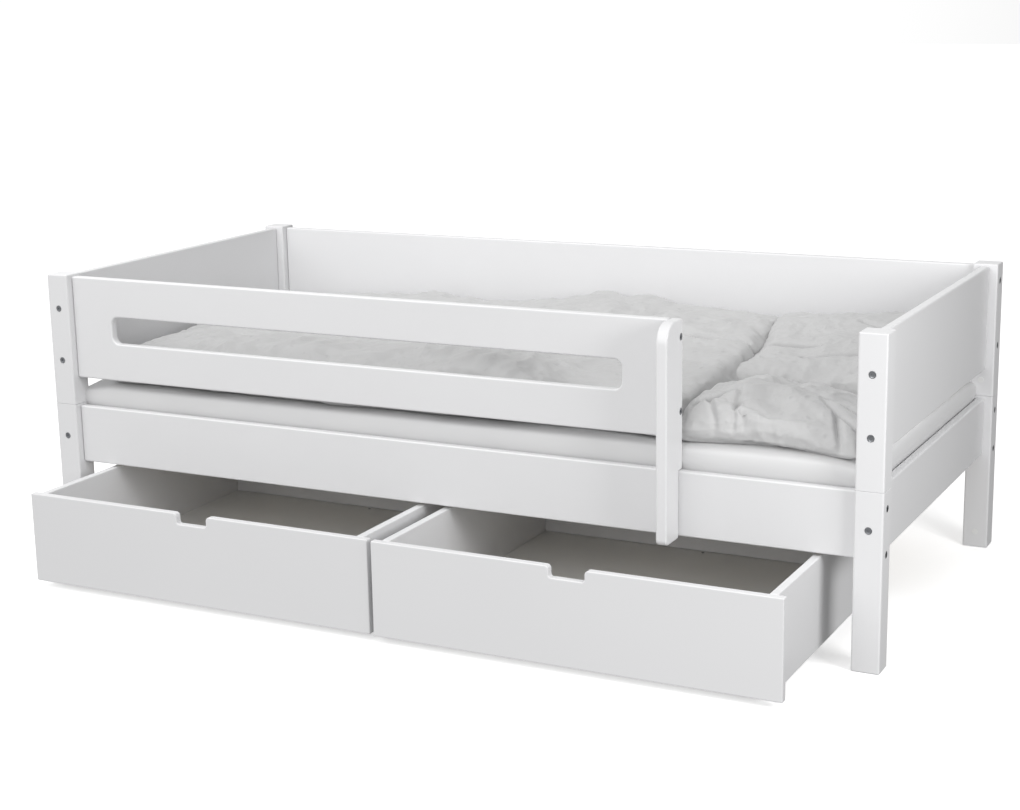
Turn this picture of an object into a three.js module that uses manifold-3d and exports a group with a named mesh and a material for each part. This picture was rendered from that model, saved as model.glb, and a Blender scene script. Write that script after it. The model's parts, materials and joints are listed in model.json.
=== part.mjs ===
import * as THREE from 'three';
import { mergeVertices } from 'three/addons/utils/BufferGeometryUtils.js';
import Module from 'manifold-3d';

const wasm = await Module();
wasm.setup();

// ---- driving dimensions, mm: bed on the floor at z = 0, open side towards -Y, head end at +X ----
const mattressLength = 2000;       // the standard mattress that the frame takes
const boardThick = 20;             // rails, panels and the safety rail
const postX = 60;                  // post section along the bed
const postY = 56;                  // post section across the bed
const bedLength = mattressLength + 2 * boardThick + 2 * (postX - boardThick) / 2;
const bedWidth = 989;
const bedHeight = 700;
const seamZ = 380;                 // joint between foot section and guard section of each post
const fit = 0.3;                   // gap between pieces that touch
const halfFit = fit / 2;

const boardBelow = 5;              // boards stop this far under the top of their post section
const railTop = seamZ - boardBelow;
const railBottom = railTop - 141;  // side and end rails
const panelTop = bedHeight - boardBelow;
const panelBottom = seamZ + 66;    // upper panels and safety rail
const panelAt = (share) => panelBottom + share * (panelTop - panelBottom);
const boardEdge = 4;               // rounding of the boards' long edges
const postEdge = 4;                // rounding of the posts
const drawerEdge = 2.5;            // rounding of the drawers' thinner boards

const uprightThick = 25;           // bar at the entry, along the bed
const uprightProud = 49;           // how far its front edge stands in front of the posts
const entryWidth = 381;            // from the bar to the head-end post
const uprightTopRadius = 43;
const uprightFootRadius = 12;
const uprightHang = 5;             // how far it reaches below the side rail

const slotHeight = 65;             // hand slot in the safety rail
const slotFromPost = 114;
const slotFromBar = 103.7;
const slotBottom = (panelBottom + panelTop - slotHeight) / 2 - 1;
const slotRadius = 18;

const slatCount = 16;
const slatWide = 70;
const slatThick = 12;
const bearerSize = 30;
const strapWide = 25;
const strapThick = 1;

const mattressThick = 118;
const mattressTop = seamZ + 45;
const mattressCorner = 60;
const softGap = 1;

const drawerSideRoom = 59;         // from the pair's outer ends to the posts, when centred
const drawerApart = 12;            // between the two drawers
const drawerLength = (bedLength - 2 * postX - 2 * drawerSideRoom - drawerApart) / 2;
const drawersShift = 3;            // the pair stands this far towards the head end
const drawerShort = 204;           // how much less deep a drawer is than the bed is wide
const drawerDepth = bedWidth - drawerShort;
const drawerBoard = 18;
const drawerFrontBottom = 15;
const drawerClear = 7;             // from the drawer's top to the rail above it
const drawerTop = railBottom - drawerClear;
const drawerOutLeft = 251;         // how far each front stands in front of the posts, as stored
const drawerOutRight = 256;
const notchWide = 80;
const notchDeep = 25;
const floorThick = 6;
const grooveDeep = 7;

const wheelRadius = 14;
const wheelWide = 12;
const wheelSideGap = 0.5;
const axleRadius = 2;
const axleClear = 0.1;
const cheekThick = 2.5;
const plateThick = 2.4;
const wheelRoom = 3.3;             // over the wheel, under the housing's plate
const castorInset = 90;            // castor centre from the drawer's outer corner
const floorBottom = 2 * wheelRadius + wheelRoom + plateThick + fit;
const drawerSideBottom = floorBottom - 5;

const headRadius = 7.5;            // connecting bolts
const headHigh = 3;
const headClear = 0.4;
const shankRadius = 3;
const shankLong = 22;
const hexAcross = 5;
const hexDeep = 2;
const panelBolts = [panelAt(0.173), panelAt(0.687)];  // heights of the bolts into the end panels
const railBolt = railBottom + 66;  // ... into the end rails
const backBolts = [panelAt(0.221), panelAt(0.851)];   // ... into the back panel and the safety rail
const sideBolts = [railBottom + 12, railTop - 33];    // ... into the side rails

// ---- places that follow ----
const xR = bedLength / 2;
const xL = -xR;
const yF = (Math.max(drawerOutLeft, drawerOutRight) - bedWidth) / 2;
const yB = yF + bedWidth;
const insetX = (postX - boardThick) / 2;
const insetY = (postY - boardThick) / 2;
const innerL = xL + postX;         // between the posts
const innerR = xR - postX;
const innerF = yF + postY;
const innerB = yB - postY;
const railFrontY = yF + insetY;    // front face of the front side rail
const railBackY = railFrontY + boardThick;
const uprightRight = innerR - entryWidth;
const uprightLeft = uprightRight - uprightThick;

// ---- materials ----
function paint(name, hex, roughness) {
  const m = new THREE.MeshStandardMaterial({ color: hex, roughness, metalness: 0 });
  m.name = name;
  return m;
}
const group = new THREE.Group();
group.name = 'toddler_bed';
function addPiece(name, geometry, hex, slot, roughness = 0.5) {
  const mesh = new THREE.Mesh(geometry, paint(slot, hex, roughness));
  mesh.name = name;
  group.add(mesh);
}
const white = 0xeceae6;
const birch = 0xd9bd92;

// ---- shape helpers ----
function closed(geometry) {
  const g = geometry.index ? geometry.toNonIndexed() : geometry;
  g.deleteAttribute('normal');
  if (g.attributes.uv) g.deleteAttribute('uv');
  return mergeVertices(g, 1e-4);
}
function solid(geometry) {
  const g = closed(geometry);
  return new wasm.Manifold(new wasm.Mesh({
    numProp: 3,
    vertProperties: new Float32Array(g.attributes.position.array),
    triVerts: new Uint32Array(g.index.array)
  }));
}
function geometryOf(manifold) {
  const mesh = manifold.getMesh();
  const g = new THREE.BufferGeometry();
  const count = mesh.vertProperties.length / mesh.numProp;
  const positions = new Float32Array(count * 3);
  for (let i = 0; i < count; i++) {
    for (let k = 0; k < 3; k++) positions[3 * i + k] = mesh.vertProperties[i * mesh.numProp + k];
  }
  g.setAttribute('position', new THREE.BufferAttribute(positions, 3));
  g.setIndex(new THREE.BufferAttribute(new Uint32Array(mesh.triVerts), 1));
  return g;
}
// outline with rounded corners: points are [u, v] or [u, v, radius]
function outlineOf(points, kind, steps) {
  const shape = new kind();
  const n = points.length;
  points.forEach((p, i) => {
    const radius = p[2] || 0;
    const here = new THREE.Vector2(p[0], p[1]);
    if (!radius) {
      if (i === 0) shape.moveTo(here.x, here.y);
      else shape.lineTo(here.x, here.y);
      return;
    }
    const before = points[(i + n - 1) % n];
    const after = points[(i + 1) % n];
    const a = new THREE.Vector2(before[0], before[1]).sub(here).normalize();
    const b = new THREE.Vector2(after[0], after[1]).sub(here).normalize();
    const half = Math.acos(a.dot(b)) / 2;
    const reach = radius / Math.tan(half);
    const centre = a.clone().add(b).normalize().multiplyScalar(radius / Math.sin(half)).add(here);
    const start = here.clone().addScaledVector(a, reach).sub(centre);
    const end = here.clone().addScaledVector(b, reach).sub(centre);
    let sweep = end.angle() - start.angle();
    if (sweep > Math.PI) sweep -= 2 * Math.PI;
    if (sweep < -Math.PI) sweep += 2 * Math.PI;
    for (let s = 0; s <= steps; s++) {
      const t = start.angle() + sweep * s / steps;
      const x = centre.x + radius * Math.cos(t);
      const y = centre.y + radius * Math.sin(t);
      if (i === 0 && s === 0) shape.moveTo(x, y);
      else shape.lineTo(x, y);
    }
  });
  shape.closePath();
  return shape;
}
const toAxis = {
  x: new THREE.Matrix4().makeBasis(
    new THREE.Vector3(0, 1, 0), new THREE.Vector3(0, 0, 1), new THREE.Vector3(1, 0, 0)),
  y: new THREE.Matrix4().makeBasis(
    new THREE.Vector3(1, 0, 0), new THREE.Vector3(0, 0, 1), new THREE.Vector3(0, -1, 0)),
  z: new THREE.Matrix4()
};
// a board cut from the outline: low and high are its two faces along the axis
function board({ axis, points, hole, low, high, edge = boardEdge, steps = 2, edgeSteps = 2 }) {
  const shape = outlineOf(points, THREE.Shape, steps);
  if (hole) shape.holes.push(outlineOf(hole, THREE.Path, 4));
  const g = new THREE.ExtrudeGeometry(shape, {
    depth: high - low - 2 * edge, bevelEnabled: true, bevelThickness: edge,
    bevelSize: edge, bevelOffset: -edge, bevelSegments: edgeSteps, steps: 1
  });
  g.translate(0, 0, edge);
  g.applyMatrix4(toAxis[axis]);
  if (axis === 'x') g.translate(low, 0, 0);
  if (axis === 'y') g.translate(0, high, 0);
  if (axis === 'z') g.translate(0, 0, low);
  return closed(g);
}
function rect(u0, u1, v0, v1, radius) {
  return [[u0, v0, radius], [u1, v0, radius], [u1, v1, radius], [u0, v1, radius]];
}
function boxSolid(x0, x1, y0, y1, z0, z1) {
  const g = new THREE.BoxGeometry(x1 - x0, y1 - y0, z1 - z0);
  g.translate((x0 + x1) / 2, (y0 + y1) / 2, (z0 + z1) / 2);
  return solid(g);
}
// cylinder that starts at a point and runs along a direction
const yAxis = new THREE.Vector3(0, 1, 0);
function rod(radius, length, from, direction, sides = 24) {
  const g = new THREE.CylinderGeometry(radius, radius, length, sides);
  g.translate(0, length / 2, 0);
  g.applyQuaternion(new THREE.Quaternion().setFromUnitVectors(yAxis, direction));
  g.translate(from.x, from.y, from.z);
  return solid(g);
}

// ---- bolts: where each head lies and which way it faces ----
const out = { left: new THREE.Vector3(-1, 0, 0), right: new THREE.Vector3(1, 0, 0),
  front: new THREE.Vector3(0, -1, 0), back: new THREE.Vector3(0, 1, 0) };
function boltPlaces(isRight, isBack, z0, z1) {
  const cx = isRight ? xR - postX / 2 : xL + postX / 2;
  const cy = isBack ? yB - postY / 2 : yF + postY / 2;
  const faceY = isBack ? yB : yF;
  const faceX = isRight ? xR : xL;
  const places = [];
  for (const z of [railBolt, ...panelBolts]) {
    places.push({ p: new THREE.Vector3(cx, faceY, z), n: isBack ? out.back : out.front });
  }
  // the head-end front post holds no safety rail
  const upper = isRight && !isBack ? [] : backBolts;
  for (const z of [...sideBolts, ...upper]) {
    places.push({ p: new THREE.Vector3(faceX, cy, z), n: isRight ? out.right : out.left });
  }
  return places.filter((b) => b.p.z > z0 && b.p.z < z1);
}
function cutBoltSeat(body, place, withBore) {
  const inwards = place.n.clone().negate();
  const mouth = place.p.clone().addScaledVector(place.n, 1);
  let cut = body.subtract(rod(headRadius + headClear, headHigh + headClear + 1, mouth, inwards));
  if (withBore) {
    const bore = rod(shankRadius + headClear, shankLong + headClear + 1, mouth, inwards, 16);
    cut = cut.subtract(bore);
  }
  return cut;
}
function boltSolid(place) {
  const inwards = place.n.clone().negate();
  let body = rod(headRadius, headHigh, place.p, inwards).add(
    rod(shankRadius, shankLong, place.p, inwards, 16));
  const mouth = place.p.clone().addScaledVector(place.n, 1);
  return body.subtract(rod(hexAcross / Math.sqrt(3), hexDeep + 1, mouth, inwards, 6));
}

// ---- posts ----
for (const [side, isRight] of [['left', false], ['right', true]]) {
  for (const [end, isBack] of [['front', false], ['back', true]]) {
    const x0 = isRight ? innerR : xL;
    const y0 = isBack ? innerB : yF;
    const section = rect(x0, x0 + postX, y0, y0 + postY, postEdge);
    for (const [level, z0, z1] of [['lower', 0, seamZ - halfFit], ['upper', seamZ + halfFit, bedHeight]]) {
      let body = solid(board({ axis: 'z', points: section, low: z0, high: z1, edge: postEdge - 1 }));
      for (const place of boltPlaces(isRight, isBack, z0, z1)) {
        const own = !isBack && (place.n === out.front || isRight);
        body = cutBoltSeat(body, place, own);
      }
      addPiece(`${level}_post_${end}_${side}`, geometryOf(body), white, 'white_lacquer');
    }
  }
}

// ---- side and end rails, back and end panels ----
const betweenX = [innerL + fit, innerR - fit];
const betweenY = [innerF + fit, innerB - fit];
function lengthwise(name, yFace, z0, z1, x0 = betweenX[0], x1 = betweenX[1], hole = null) {
  addPiece(name, board({ axis: 'y', points: rect(x0, x1, z0, z1, 0), hole,
    low: yFace, high: yFace + boardThick }), white, 'white_lacquer');
}
function crosswise(name, xFace, z0, z1) {
  addPiece(name, board({ axis: 'x', points: rect(...betweenY, z0, z1, 0),
    low: xFace, high: xFace + boardThick }), white, 'white_lacquer');
}
const backFaceY = yB - insetY - boardThick;
lengthwise('side_rail_front', railFrontY, railBottom, railTop);
lengthwise('side_rail_back', backFaceY, railBottom, railTop);
lengthwise('back_panel', backFaceY, panelBottom, panelTop);
crosswise('end_rail_left', xL + insetX, railBottom, railTop);
crosswise('end_rail_right', xR - insetX - boardThick, railBottom, railTop);
crosswise('end_panel_left', xL + insetX, panelBottom, panelTop);
crosswise('end_panel_right', xR - insetX - boardThick, panelBottom, panelTop);

// ---- safety rail with its hand slot, and the entry bar that holds its free end ----
const slotLeft = innerL + slotFromPost;
const slotRight = uprightLeft - fit - slotFromBar;
lengthwise('safety_rail', railFrontY, panelBottom, panelTop, betweenX[0], uprightLeft - fit,
  rect(slotLeft, slotRight, slotBottom, slotBottom + slotHeight, slotRadius).reverse());
{
  const front = yF - uprightProud;
  const points = [
    [front, railBottom - uprightHang, uprightFootRadius], [railFrontY - fit, railBottom - uprightHang],
    [railFrontY - fit, railTop + fit], [railBackY, railTop + fit],
    [railBackY, panelTop], [front, panelTop, uprightTopRadius]
  ];
  let body = solid(board({ axis: 'x', points, low: uprightLeft, high: uprightRight, steps: 4 }));
  backBolts.forEach((z, i) => {
    const place = { p: new THREE.Vector3(uprightRight, railFrontY + boardThick / 2, z), n: out.right };
    body = cutBoltSeat(body, place, true);
    addPiece(`bolt_entry_bar_${i + 1}`, geometryOf(boltSolid(place)), 0xb8bcc0, 'bolt_steel', 0.35);
  });
  addPiece('entry_bar', geometryOf(body), white, 'white_lacquer');
}
for (const [side, isRight] of [['left', false], ['right', true]]) {
  for (const [tag, way] of [['face', out.front], ['edge', out.right]]) {
    const places = boltPlaces(isRight, false, 0, bedHeight).filter((b) => b.n === way);
    places.forEach((place, i) => {
      addPiece(`bolt_front_${side}_${tag}_${i + 1}`, geometryOf(boltSolid(place)),
        0xb8bcc0, 'bolt_steel', 0.35);
    });
  }
}

// ---- slatted base: battens on the side rails, slats on two straps ----
const slatTop = mattressTop - mattressThick - softGap - strapThick;
const bearerTop = slatTop - slatThick - fit;
for (const [name, y0] of [['slat_batten_front', railBackY + fit],
  ['slat_batten_back', backFaceY - bearerSize - fit]]) {
  addPiece(name, board({ axis: 'y', points: rect(innerL + 5, innerR - 5, bearerTop - bearerSize, bearerTop, 0),
    low: y0, high: y0 + bearerSize, edge: 1, edgeSteps: 1, steps: 1 }), birch, 'birch');
}
{
  const y0 = railBackY + 4;
  const y1 = backFaceY - 4;
  const first = innerL + 8;
  const pitch = (innerR - 8 - slatWide - first) / (slatCount - 1);
  let roll = null;
  for (let i = 0; i < slatCount; i++) {
    const x0 = first + i * pitch;
    const slat = boxSolid(x0, x0 + slatWide, y0, y1, slatTop - slatThick, slatTop);
    roll = roll ? roll.add(slat) : slat;
  }
  for (const share of [0.2, 0.8]) {
    const yc = y0 + share * (y1 - y0);
    roll = roll.add(boxSolid(first + 5, innerR - 13, yc - strapWide / 2, yc + strapWide / 2,
      slatTop - strapThick, slatTop + strapThick));
  }
  addPiece('slat_roll', geometryOf(roll), birch, 'birch');
}

// ---- mattress and bedding ----
function soft(name, axis, points, low, high, edge, slot, hex) {
  addPiece(name, board({ axis, points, low, high, edge, steps: 4, edgeSteps: 3 }), hex, slot, 0.9);
}
soft('mattress', 'z', rect(xL + insetX + boardThick + 5, xR - insetX - boardThick - 5,
  railBackY + 6, backFaceY - 6, mattressCorner), mattressTop - mattressThick, mattressTop, 18,
'cotton_sheet', 0xf2f2f0);
const beddingLow = mattressTop + softGap;
const beddingFront = innerF + 6;
const beddingBack = innerB - 6;
const duvetRight = uprightLeft - 38;
const duvetLeft = innerL + 62;
const duvetAt = (share) => duvetLeft + share * (duvetRight - duvetLeft);
soft('duvet', 'y', [
  [duvetLeft, beddingLow, 20], [duvetRight, beddingLow, 20], [duvetRight, beddingLow + 165, 60],
  [duvetAt(0.71), beddingLow + 165, 60], [duvetAt(0.45), beddingLow + 112, 60],
  [duvetAt(0.095), beddingLow + 100, 60], [duvetLeft, beddingLow + 46, 20]
], beddingFront, beddingBack, 18, 'duvet_cotton', 0xdadada);
const pillowLeft = duvetRight + 10;
const pillowSplit = beddingFront + 0.43 * (beddingBack - beddingFront);
soft('pillow_front', 'x', rect(beddingFront, pillowSplit, beddingLow, beddingLow + 130, 45),
  pillowLeft, innerR - 12, 18, 'duvet_cotton', 0xdadada);
soft('pillow_rear', 'x', rect(pillowSplit + 10, beddingBack, beddingLow, beddingLow + 190, 60),
  pillowLeft, innerR - 12, 18, 'duvet_cotton', 0xdadada);

// ---- drawers ----
function drawer(side, x0, pull) {
  const x1 = x0 + drawerLength;
  const face = yF - pull;
  const inside = face + drawerBoard;
  const end = face + drawerDepth;
  const mid = (x0 + x1) / 2;
  const groove = boxSolid(x0 + drawerBoard + drawerBoard - grooveDeep, x1 - 2 * drawerBoard + grooveDeep,
    inside - grooveDeep, end + 5, floorBottom - fit, floorBottom + floorThick + fit);
  const half = notchWide / 2;
  const points = [
    [x0, drawerFrontBottom], [x1, drawerFrontBottom], [x1, drawerTop],
    [mid + half, drawerTop, 9], [mid + half, drawerTop - notchDeep, 6],
    [mid - half, drawerTop - notchDeep, 6], [mid - half, drawerTop, 9], [x0, drawerTop]
  ];
  const front = solid(board({ axis: 'y', points, low: face, high: inside, edge: drawerEdge, steps: 3 }));
  addPiece(`drawer_front_${side}`, geometryOf(front.subtract(groove)), white, 'white_lacquer');
  const sideOutline = rect(inside + fit, end, drawerSideBottom, drawerTop, 0);
  for (const [hand, low] of [['left', x0 + drawerBoard], ['right', x1 - 2 * drawerBoard]]) {
    const wall = solid(board({ axis: 'x', points: sideOutline, low, high: low + drawerBoard, edge: drawerEdge }));
    addPiece(`drawer_${side}_side_${hand}`, geometryOf(wall.subtract(groove)), white, 'white_lacquer');
  }
  addPiece(`drawer_${side}_back`, board({ axis: 'y',
    points: rect(x0 + 2 * drawerBoard + fit, x1 - 2 * drawerBoard - fit,
      floorBottom + floorThick + 2 * fit, drawerTop, 0),
    low: end - drawerBoard, high: end, edge: drawerEdge }), white, 'white_lacquer');
  addPiece(`drawer_${side}_floor`, board({ axis: 'z',
    points: rect(x0 + 2 * drawerBoard - grooveDeep + fit, x1 - 2 * drawerBoard + grooveDeep - fit,
      inside - grooveDeep + fit, end - fit, 0),
    low: floorBottom, high: floorBottom + floorThick, edge: 0.8, steps: 1, edgeSteps: 1 }),
  white, 'drawer_floor_white');

  // four castors under the floor: a plastic housing and a wheel with its axle each
  const plateTop = floorBottom - fit;
  const inner = wheelWide / 2 + wheelSideGap;
  let n = 0;
  for (const cy of [face + castorInset, end - castorInset]) {
    for (const cx of [x0 + castorInset, x1 - castorInset]) {
      n += 1;
      const centre = new THREE.Vector3(cx, cy, wheelRadius);
      const outer = inner + cheekThick;
      let housing = boxSolid(cx - 22, cx + 22, cy - 19, cy + 19, plateTop - plateThick, plateTop);
      housing = housing.add(boxSolid(cx - outer, cx + outer, cy - 12, cy + 12, wheelRadius - 6, plateTop));
      housing = housing.subtract(boxSolid(cx - inner, cx + inner, cy - 13, cy + 13, 0,
        plateTop - plateThick));
      const bore = rod(axleRadius + axleClear, 2 * outer + 2,
        centre.clone().add(new THREE.Vector3(-outer - 1, 0, 0)), out.right, 16);
      addPiece(`castor_${side}_${n}_housing`, geometryOf(housing.subtract(bore)), 0x8b8f94, 'castor_grey');
      const reach = outer - 0.2;
      const wheel = rod(wheelRadius, wheelWide,
        centre.clone().add(new THREE.Vector3(-wheelWide / 2, 0, 0)), out.right, 32).add(
        rod(axleRadius, 2 * reach, centre.clone().add(new THREE.Vector3(-reach, 0, 0)), out.right, 16));
      addPiece(`castor_${side}_${n}_wheel`, geometryOf(wheel), 0x2c2d30, 'castor_black');
    }
  }
}
drawer('left', drawersShift - drawerApart / 2 - drawerLength, drawerOutLeft);
drawer('right', drawersShift + drawerApart / 2, drawerOutRight);

export default group;
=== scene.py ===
import json
import math
import bmesh
import bpy
from mathutils import Matrix, Vector, noise

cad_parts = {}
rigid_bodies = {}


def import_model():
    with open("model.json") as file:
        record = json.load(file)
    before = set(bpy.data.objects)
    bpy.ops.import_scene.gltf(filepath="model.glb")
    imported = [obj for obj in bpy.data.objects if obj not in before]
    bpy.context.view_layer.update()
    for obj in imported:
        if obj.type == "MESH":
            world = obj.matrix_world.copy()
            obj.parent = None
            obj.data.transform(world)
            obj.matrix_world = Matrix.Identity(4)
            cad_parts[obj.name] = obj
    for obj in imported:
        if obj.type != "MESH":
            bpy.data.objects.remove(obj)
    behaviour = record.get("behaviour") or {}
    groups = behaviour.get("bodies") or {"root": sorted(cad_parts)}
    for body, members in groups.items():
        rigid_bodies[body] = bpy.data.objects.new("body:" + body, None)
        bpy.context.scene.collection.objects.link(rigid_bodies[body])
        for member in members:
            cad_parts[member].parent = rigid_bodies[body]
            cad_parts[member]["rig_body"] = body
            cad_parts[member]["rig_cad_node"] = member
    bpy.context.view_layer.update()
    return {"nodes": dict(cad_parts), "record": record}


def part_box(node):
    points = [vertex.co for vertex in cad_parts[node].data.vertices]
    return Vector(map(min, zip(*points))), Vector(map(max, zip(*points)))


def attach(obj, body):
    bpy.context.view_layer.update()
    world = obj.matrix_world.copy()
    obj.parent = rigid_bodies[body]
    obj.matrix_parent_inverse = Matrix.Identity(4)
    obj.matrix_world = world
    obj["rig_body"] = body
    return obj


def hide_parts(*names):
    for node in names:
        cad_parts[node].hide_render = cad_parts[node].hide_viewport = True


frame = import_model()
mm = 0.001
tiny = 1e-6  # points nearer than this count as level
overshoot = 20 * mm  # how far a cutting tool reaches past its piece
bodies = frame["record"]["behaviour"]["bodies"]
bodyOf = {node: body for body, members in bodies.items() for node in members}
print("frame loaded:", len(frame["nodes"]), "CAD nodes")


# small helpers

def pick(*pieces):
    # only these are selected, and the last is active
    if bpy.context.object and bpy.context.object.mode != "OBJECT":
        bpy.ops.object.mode_set(mode="OBJECT")
    bpy.ops.object.select_all(action="DESELECT")
    for piece in pieces:
        piece.select_set(True)
        bpy.context.view_layer.objects.active = piece


def settle(piece, name):
    # place, turn and size go into the mesh, so that the object itself sits at the origin
    pick(piece)
    bpy.ops.object.transform_apply(location=True, rotation=True, scale=True)
    piece.name = name
    piece.data.name = name
    return piece


def addBlock(name, low, high):
    low, high = Vector(low), Vector(high)
    pick()
    bpy.ops.mesh.primitive_cube_add(size=1, location=(low + high) / 2)
    bpy.context.object.scale = high - low
    return settle(bpy.context.object, name)


def addRod(name, radius, start, end, sides=32):
    start, end = Vector(start), Vector(end)
    span = end - start
    pick()
    bpy.ops.mesh.primitive_cylinder_add(
        vertices=sides, radius=radius, depth=span.length, location=(start + end) / 2,
        rotation=span.to_track_quat("Z", "Y").to_euler())
    return settle(bpy.context.object, name)


def modify(piece, kind, **settings):
    pick(piece)
    modifier = piece.modifiers.new(kind.lower(), kind)
    for key, value in settings.items():
        setattr(modifier, key, value)
    bpy.ops.object.modifier_apply(modifier=modifier.name)


def combine(piece, tool, operation="DIFFERENCE"):
    modify(piece, "BOOLEAN", operation=operation, solver="EXACT", object=tool)
    bpy.data.objects.remove(tool)


def roundEdges(piece, chosen, offset, segments):
    # chosen says from an edge's two ends whether it is rounded
    pick(piece)
    bpy.ops.object.mode_set(mode="EDIT")
    bpy.ops.mesh.select_mode(type="EDGE")
    bpy.ops.mesh.select_all(action="DESELECT")
    mesh = bmesh.from_edit_mesh(piece.data)
    for edge in mesh.edges:
        edge.select_set(chosen(edge.verts[0].co, edge.verts[1].co))
    bmesh.update_edit_mesh(piece.data)
    bpy.ops.mesh.bevel(offset=offset, segments=segments, affect="EDGES")
    bpy.ops.object.mode_set(mode="OBJECT")


def along(axis):
    # picks the edges that run along one axis
    others = [k for k in range(3) if k != axis]
    return lambda a, b: all(abs(a[k] - b[k]) < tiny for k in others)


def finishHard(piece, body, material, replaced=()):
    pick(piece)
    bpy.ops.object.shade_smooth_by_angle(angle=math.radians(35))
    modify(piece, "WEIGHTED_NORMAL", keep_sharp=True)
    finish(piece, body, material, replaced)


def finish(piece, body, material, replaced=()):
    piece.data.materials.clear()
    piece.data.materials.append(material)
    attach(piece, body)
    if replaced:
        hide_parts(*replaced)


def copyOf(piece, name, place):
    # a copy with its own mesh, moved by the matrix
    twin = piece.copy()
    twin.data = piece.data.copy()
    twin.data.transform(place)
    twin.name = name
    twin.data.name = name
    bpy.context.scene.collection.objects.link(twin)
    return twin


def middleOf(node):
    low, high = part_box(node)
    return (low + high) / 2


def linear(hexColour):
    # the sRGB curve turned into the linear values that a shader takes
    parts = [int(hexColour[i:i + 2], 16) / 255 for i in (0, 2, 4)]
    return [c / 12.92 if c <= 0.04045 else ((c + 0.055) / 1.055) ** 2.4 for c in parts] + [1.0]


def addNode(tree, kind, settings=None, links=None):
    # one shader node: settings go to its properties or sockets, links come from other nodes' outputs
    node = tree.nodes.new("ShaderNode" + kind)
    for key, value in (settings or {}).items():
        if isinstance(key, int) or key in node.inputs:
            node.inputs[key].default_value = value
        else:
            setattr(node, key, value)
    for key, source in (links or {}).items():
        tree.links.new(source, node.inputs[key])
    return node


def newMaterial(name):
    material = bpy.data.materials.new(name)
    material.use_nodes = True
    tree = material.node_tree
    tree.nodes.clear()
    shader = addNode(tree, "BsdfPrincipled")
    addNode(tree, "OutputMaterial", links={"Surface": shader.outputs[0]})
    place = addNode(tree, "TexCoord").outputs["Object"]
    return material, tree, shader, place


# materials

lacquerValues = dict(
    light="DDDDDE", dark="D9D9DA", roughLow=0.30, roughHigh=0.40,
    cloudSize=420 * mm, smearSize=90 * mm, peelSize=5 * mm, peelDeep=0.05 * mm, refraction=1.5)


def makeSatinLacquer():
    # sprayed satin lacquer on sanded board: even white, a soft sheen at low angles, slight orange peel
    v = lacquerValues
    material, tree, shader, place = newMaterial("sprayed satin white lacquer")
    cloud = addNode(tree, "TexNoise", {"Scale": 1 / v["cloudSize"], "Detail": 2.0}, {"Vector": place})
    tone = addNode(tree, "Mix", {"data_type": "RGBA", 6: linear(v["dark"]), 7: linear(v["light"])},
                   {"Factor": cloud.outputs[0]})
    smear = addNode(tree, "TexNoise", {"Scale": 1 / v["smearSize"], "Detail": 3.0}, {"Vector": place})
    rough = addNode(tree, "MapRange", {"To Min": v["roughLow"], "To Max": v["roughHigh"]},
                    {"Value": smear.outputs[0]})
    # real orange peel is about 1 mm across; drawn 5 mm so that it shows
    peel = addNode(tree, "TexNoise", {"Scale": 1 / v["peelSize"], "Detail": 1.0}, {"Vector": place})
    bump = addNode(tree, "Bump", {"Strength": 0.35, "Distance": v["peelDeep"]}, {"Height": peel.outputs[0]})
    tree.links.new(tone.outputs[2], shader.inputs["Base Color"])
    tree.links.new(rough.outputs[0], shader.inputs["Roughness"])
    tree.links.new(bump.outputs[0], shader.inputs["Normal"])
    shader.inputs["IOR"].default_value = v["refraction"]
    return material


hardboardValues = dict(light="E2E2E1", dark="DCDCDB", rough=0.5, cloudSize=260 * mm,
                       pebbleSize=3 * mm, pebbleDeep=0.08 * mm)


def makeCoatedHardboard():
    # white coated hardboard of the drawer floors: flatter and a little greyer than the lacquer, pebbled
    v = hardboardValues
    material, tree, shader, place = newMaterial("white coated hardboard")
    cloud = addNode(tree, "TexNoise", {"Scale": 1 / v["cloudSize"], "Detail": 3.0}, {"Vector": place})
    tone = addNode(tree, "Mix", {"data_type": "RGBA", 6: linear(v["dark"]), 7: linear(v["light"])},
                   {"Factor": cloud.outputs[0]})
    pebble = addNode(tree, "TexVoronoi", {"Scale": 1 / v["pebbleSize"]}, {"Vector": place})
    bump = addNode(tree, "Bump", {"Strength": 0.3, "Distance": v["pebbleDeep"]},
                   {"Height": pebble.outputs["Distance"]})
    tree.links.new(tone.outputs[2], shader.inputs["Base Color"])
    tree.links.new(bump.outputs[0], shader.inputs["Normal"])
    shader.inputs["Roughness"].default_value = v["rough"]
    return material


birchValues = dict(pale="DDD2BE", ring="CBBB9F", rough=0.45, grainWide=5 * mm, grainLong=260 * mm,
                   fibreWide=1.2 * mm, fibreDeep=0.1 * mm)


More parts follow.
